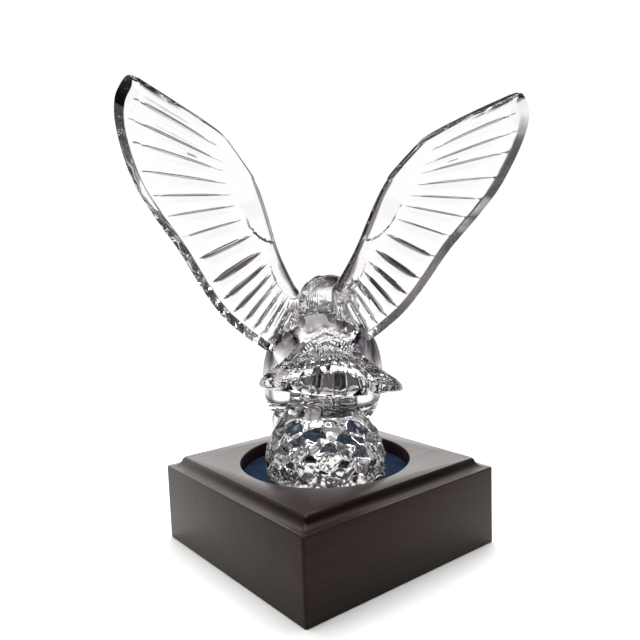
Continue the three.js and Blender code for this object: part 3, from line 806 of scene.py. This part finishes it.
class OBJECT_OT_eagle_base(bpy.types.Operator):
    """Make the moulded wooden base with its round recess"""
    bl_idname = "object.eagle_base"
    bl_label = "Wooden Base"

    def execute(self, context):
        size, finish = context.scene.eagle_base, context.scene.eagle_finish
        unit = 1 / MILLIMETRE
        half, easing, land, top, inset = (
            value * unit for value in (size.side / 2, size.easing, size.land, size.top, size.inset))
        profile = [(easing * (1 - math.sin(a)), easing * (1 - math.cos(a))) for a in quarter(4)]
        profile += [(easing * (1 - math.cos(a)), land - easing * (1 - math.sin(a))) for a in quarter(4)]
        cove_start, cove_end = 1.4, inset - easing * 1.5
        low, high = land + easing / 4, top - easing
        for a in quarter(14, math.radians(84)):
            set_in = cove_start + (cove_end - cove_start) * math.sin(a)
            profile.append((set_in, low + (high - low) * (1 - math.cos(a))))
        profile += [
            (inset - easing * (1 - math.sin(a)), top - easing * (1 - math.sin(a))) for a in quarter(3)]
        bm = bmesh.new()
        bmesh.ops.create_grid(bm, x_segments=1, y_segments=1, size=half - profile[0][0])
        bmesh.ops.bevel(
            bm, geom=bm.verts[:], offset=size.corner * unit, affect="VERTICES",
            segments=5, profile=0.5, material=-1)
        face = max(bm.faces, key=lambda f: f.calc_area())
        reach = half - profile[0][0]
        level = 0.0
        for set_in, height in profile[1:]:
            made = bmesh.ops.extrude_face_region(bm, geom=[face, *face.edges])
            face = next(item for item in made["geom"] if isinstance(item, bmesh.types.BMFace))
            grow = (half - set_in) / reach
            bmesh.ops.translate(bm, vec=(0, 0, height - level), verts=face.verts)
            bmesh.ops.scale(bm, vec=(grow, grow, 1), verts=face.verts)
            reach, level = half - set_in, height
        base = to_object(bm, "wooden_base")
        cutter = bmesh.new()
        radius, floor = size.recess_radius * unit, size.recess_floor * unit
        outline = [(0, floor), (radius, floor), (radius, top - easing)]
        outline += [
            (radius + easing * (1 - math.cos(a)), top - easing * (1 - math.sin(a))) for a in quarter(4)]
        outline += [(radius + easing, top + 1), (0, top + 1)]
        verts = [cutter.verts.new((x, 0, z)) for x, z in outline]
        edges = [cutter.edges.new(pair) for pair in zip(verts, verts[1:])]
        bmesh.ops.spin(
            cutter, geom=verts + edges, cent=(0, 0, 0), axis=(0, 0, 1), angle=math.tau,
            steps=180, use_merge=True)
        combine(base, [to_object(cutter, "recess cutter")], "DIFFERENCE")
        dress(base, stained_hardwood(finish.wood_dark, finish.wood_light), "wood_base")
        return {"FINISHED"}


class OBJECT_OT_eagle_felt(bpy.types.Operator):
    """Make the round felt lining of the recess"""
    bl_idname = "object.eagle_felt"
    bl_label = "Felt Lining"

    def execute(self, context):
        size, finish = context.scene.eagle_base, context.scene.eagle_finish
        unit = 1 / MILLIMETRE
        bm = bmesh.new()
        radius, thickness = size.felt_radius * unit, size.felt_thickness * unit
        bmesh.ops.create_cone(
            bm, cap_ends=True, segments=160, radius1=radius, radius2=radius, depth=thickness)
        bmesh.ops.translate(bm, vec=(0, 0, size.felt_bottom * unit + thickness / 2), verts=bm.verts)
        rims = [e for e in bm.edges if abs(e.verts[0].co.z - e.verts[1].co.z) < 0.1]
        bmesh.ops.bevel(
            bm, geom=rims, offset=0.35, affect="EDGES", segments=3, profile=0.5, material=-1)
        felt = to_object(bm, "felt_lining")
        dress(felt, wool_felt(finish.felt_dark, finish.felt_light), "recess_felt")
        return {"FINISHED"}


class OBJECT_OT_eagle_crystal(bpy.types.Operator):
    """Make the crystal eagle and its rock as one clear piece"""
    bl_idname = "object.eagle_crystal"
    bl_label = "Crystal Eagle"

    def execute(self, context):
        cut, finish = context.scene.eagle_crystal, context.scene.eagle_finish
        unit = 1 / MILLIMETRE
        raised = Matrix.Translation((0, 0, LOWER_PIVOT_HEIGHT))
        rolled = Matrix.Rotation(LOWER_ROLL, 4, "Y")
        swing = Matrix.Rotation(LOWER_SWING, 4, "Z") @ raised @ rolled @ raised.inverted()
        eagle = rock(cut.scoop_depth * unit)
        parts = [leg_block(swing), body(), nape(), tail(cut.tail_flute * unit, swing)]
        parts += [thigh(side, swing) for side in (1, -1)]
        parts += head_parts()
        parts += [toe(side, spread) for side in (1, -1) for spread in TOE_SPREAD]
        parts += [wing(side, cut.feather_cut * unit) for side in (1, -1)]
        combine(eagle, parts)
        place = Matrix.Translation(Vector(CRYSTAL_AT) * MILLIMETRE) @ Matrix.Rotation(CRYSTAL_TURN, 4, "Z")
        eagle.data.transform(place)
        eagle.name = eagle.data.name = "crystal_eagle_cut"
        # Clear crystal lets the light through to the felt and the wood
        eagle.visible_shadow = False
        dress(eagle, lead_crystal(finish.crystal), "crystal_eagle")
        return {"FINISHED"}


class SCENE_OT_eagle_stage(bpy.types.Operator):
    """Make the camera, the pale floor and the soft light"""
    bl_idname = "scene.eagle_stage"
    bl_label = "Stage"

    def execute(self, context):
        add_camera(context.scene)
        bm = bmesh.new()
        bmesh.ops.create_circle(bm, cap_ends=True, segments=96, radius=FLOOR_RADIUS)
        floor = to_object(bm, "floor")
        floor.data.materials.append(painted_board(context.scene.eagle_finish.floor))
        # The crystal shows the room below it, and not the floor
        floor.visible_transmission = False
        add_light("overhead", (0.0, 0.0, 1.5), 1.3, 26.0)
        add_light("key", (0.9, -0.35, 0.75), 0.5, 2.0)
        light_room(context.scene)
        return {"FINISHED"}


def quarter(steps, turn=math.pi / 2):
    """Angles of an arc, from its start to its end."""
    return [turn * step / steps for step in range(steps + 1)]


def view_axes():
    """The camera's right, up and forward directions."""
    forward = Vector((
        -math.sin(CAMERA_YAW) * math.cos(CAMERA_PITCH),
        -math.cos(CAMERA_YAW) * math.cos(CAMERA_PITCH),
        -math.sin(CAMERA_PITCH),
    ))
    level = Vector((-math.cos(CAMERA_YAW), math.sin(CAMERA_YAW), 0))
    upright = level.cross(forward)
    right = level * math.cos(CAMERA_ROLL) + upright * math.sin(CAMERA_ROLL)
    up = upright * math.cos(CAMERA_ROLL) - level * math.sin(CAMERA_ROLL)
    return right, up, forward


def add_camera(scene):
    right, up, forward = view_axes()
    data = bpy.data.cameras.new("camera")
    data.sensor_width = SENSOR_WIDTH
    data.lens = CAMERA_FOCAL / IMAGE_SIDE * SENSOR_WIDTH
    data.clip_start, data.clip_end = 0.01, 100
    camera = bpy.data.objects.new("camera", data)
    turned = Matrix((right, up, -forward)).transposed().to_4x4()
    camera.matrix_world = Matrix.Translation(Vector(CAMERA_AT) * MILLIMETRE) @ turned
    scene.collection.objects.link(camera)
    scene.camera = camera


def add_light(name, place, size, power):
    """A soft square light that faces the crystal."""
    data = bpy.data.lights.new(name, "AREA")
    data.size, data.energy = size, power
    light = bpy.data.objects.new(name, data)
    light.location = place
    light.rotation_euler = (Vector((0, 0, 0.1)) - Vector(place)).to_track_quat("-Z", "Y").to_euler()
    bpy.context.scene.collection.objects.link(light)


def paint(ramp, stops):
    """Gives a colour ramp its stops, of which the first is at 0 and the last at 1."""
    for position, code in stops[1:-1]:
        ramp.elements.new(position)
    for element, (position, code) in zip(ramp.elements, stops):
        element.color = (*from_hex(code), 1)


def light_room(scene):
    """The studio: white walls with grey gaps, and dark bands above and below, for the crystal to show.

    Only rays that go through the crystal or off it see these. The camera sees plain white, and dull
    surfaces see the backdrop. The shades were tuned to the photograph, so they are no real room.
    """
    world = bpy.data.worlds.new("studio")
    scene.world = world
    world.use_nodes = True
    tree = world.node_tree
    tree.nodes.clear()
    forward = view_axes()[2]
    facing = math.atan2(forward.y, forward.x)
    place = add_node(tree, "ShaderNodeTexCoord").outputs["Generated"]
    way = add_node(tree, "ShaderNodeSeparateXYZ", {"Vector": place})
    around = add_node(tree, "ShaderNodeMath", {0: way.outputs["Y"], 1: way.outputs["X"]}, operation="ARCTAN2")
    turned = add_node(tree, "ShaderNodeMath", {0: around.outputs["Value"], 1: facing}, operation="SUBTRACT")
    fourfold = add_node(tree, "ShaderNodeMath", {0: turned.outputs["Value"], 1: 4.0}, operation="MULTIPLY")
    wave = add_node(tree, "ShaderNodeMath", {0: fourfold.outputs["Value"]}, operation="COSINE")
    share = add_node(
        tree, "ShaderNodeMapRange", {"Value": wave.outputs["Value"], "From Min": -1.0, "From Max": 1.0})
    walls = add_node(tree, "ShaderNodeValToRGB", {"Fac": share.outputs["Result"]})
    paint(walls.color_ramp, WALL_SHADES)
    height = add_node(
        tree, "ShaderNodeMapRange", {"Value": way.outputs["Z"], "From Min": -1.0, "From Max": 1.0})
    storeys = add_node(tree, "ShaderNodeValToRGB", {"Fac": height.outputs["Result"]})
    paint(storeys.color_ramp, STOREY_SHADES)
    room = add_node(
        tree, "ShaderNodeMix",
        {"Factor": 1.0, "A": walls.outputs["Color"], "B": storeys.outputs["Color"]},
        data_type="RGBA", blend_type="MULTIPLY")
    # The backdrop stands where the photograph's camera looks, with little light from behind that camera
    ahead = add_node(
        tree, "ShaderNodeVectorMath", {0: place, 1: forward}, operation="DOT_PRODUCT")
    backdrop = add_node(
        tree, "ShaderNodeMapRange",
        {"Value": ahead.outputs["Value"], "From Min": 0.1, "From Max": 0.75,
         "To Min": BACKDROP_BRIGHTNESS[0], "To Max": BACKDROP_BRIGHTNESS[1]},
        interpolation_type="SMOOTHSTEP")
    path = add_node(tree, "ShaderNodeLightPath")
    seen = add_node(
        tree, "ShaderNodeMix",
        {"Factor": path.outputs["Is Singular Ray"],
         "A": backdrop.outputs["Result"], "B": room.outputs["Result"]},
        data_type="RGBA")
    colour = add_node(
        tree, "ShaderNodeMix",
        {"Factor": path.outputs["Is Camera Ray"], "A": seen.outputs["Result"], "B": (1, 1, 1, 1)},
        data_type="RGBA")
    sky = add_node(
        tree, "ShaderNodeBackground", {"Color": colour.outputs["Result"], "Strength": STUDIO_BRIGHTNESS})
    add_node(tree, "ShaderNodeOutputWorld", {"Surface": sky.outputs["Background"]})
    scene.view_settings.view_transform = "Standard"
    scene.cycles.max_bounces = MOST_BOUNCES
    scene.cycles.transmission_bounces = MOST_BOUNCES


class VIEW3D_PT_eagle(bpy.types.Panel):
    """Lists the pieces of the figurine and their settings"""
    bl_label = "Crystal Eagle"
    bl_space_type = "VIEW_3D"
    bl_region_type = "UI"
    bl_category = "Eagle"

    def draw(self, context):
        column = self.layout.column()
        for operator in OPERATORS:
            column.operator(operator.bl_idname)
        for group in ("eagle_base", "eagle_crystal", "eagle_finish"):
            settings = getattr(context.scene, group)
            for name in settings.__annotations__:
                column.prop(settings, name)


OPERATORS = (SCENE_OT_eagle_stage, OBJECT_OT_eagle_base, OBJECT_OT_eagle_felt, OBJECT_OT_eagle_crystal)
GROUPS = {
    "eagle_base": EagleBaseSettings,
    "eagle_crystal": EagleCrystalSettings,
    "eagle_finish": EagleFinishSettings,
}


def register():
    for group in GROUPS.values():
        bpy.utils.register_class(group)
    for name, group in GROUPS.items():
        setattr(bpy.types.Scene, name, bpy.props.PointerProperty(type=group))
    for operator in OPERATORS:
        bpy.utils.register_class(operator)
    bpy.utils.register_class(VIEW3D_PT_eagle)


def unregister():
    bpy.utils.unregister_class(VIEW3D_PT_eagle)
    for operator in reversed(OPERATORS):
        bpy.utils.unregister_class(operator)
    for name, group in GROUPS.items():
        delattr(bpy.types.Scene, name)
        bpy.utils.unregister_class(group)


def main():
    register()
    bpy.ops.scene.eagle_stage()
    bpy.ops.object.eagle_base()
    bpy.ops.object.eagle_felt()
    bpy.ops.object.eagle_crystal()


if __name__ == "__main__":
    main()
